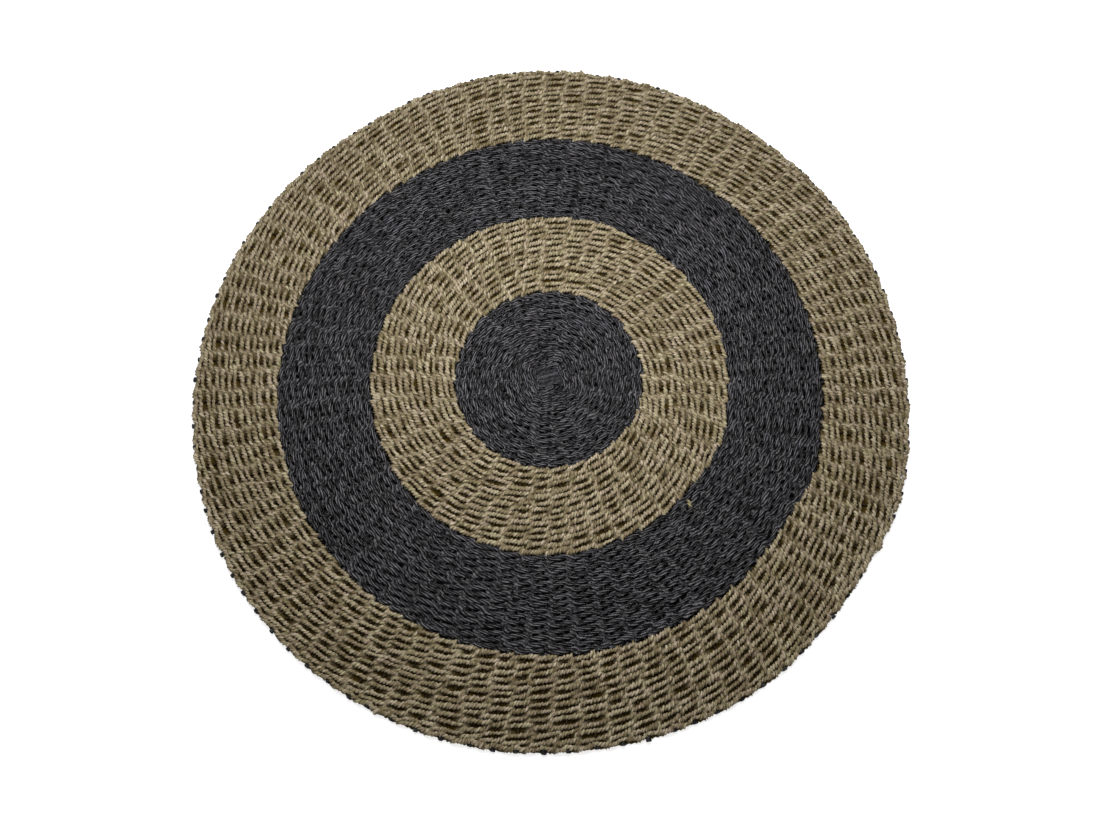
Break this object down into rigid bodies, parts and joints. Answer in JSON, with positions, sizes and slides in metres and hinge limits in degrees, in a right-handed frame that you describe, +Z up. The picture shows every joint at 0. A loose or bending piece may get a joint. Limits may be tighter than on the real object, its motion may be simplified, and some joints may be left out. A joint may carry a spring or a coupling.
{
  "type": "round seagrass rug",
  "caption": "Flat round floor rug twined from two-ply seagrass cord around black spokes, in concentric black and natural bands, for laying on a floor.",
  "frame": {"origin": "middle of the rug's box, on its flat underside", "axes": "+Z up, out of the top face; +Y away from the viewer of the picture and +X to the viewer's right"},
  "size_m": [1.1958, 1.2068, 0.015],
  "materials": {
    "seagrass": "dry twisted seagrass cord, natural straw and olive in two bands and dyed black in the centre disc, the ring and the spokes"
  },
  "bodies": {
    "root": {"rug": "seagrass"}
  },
  "joints": []
}
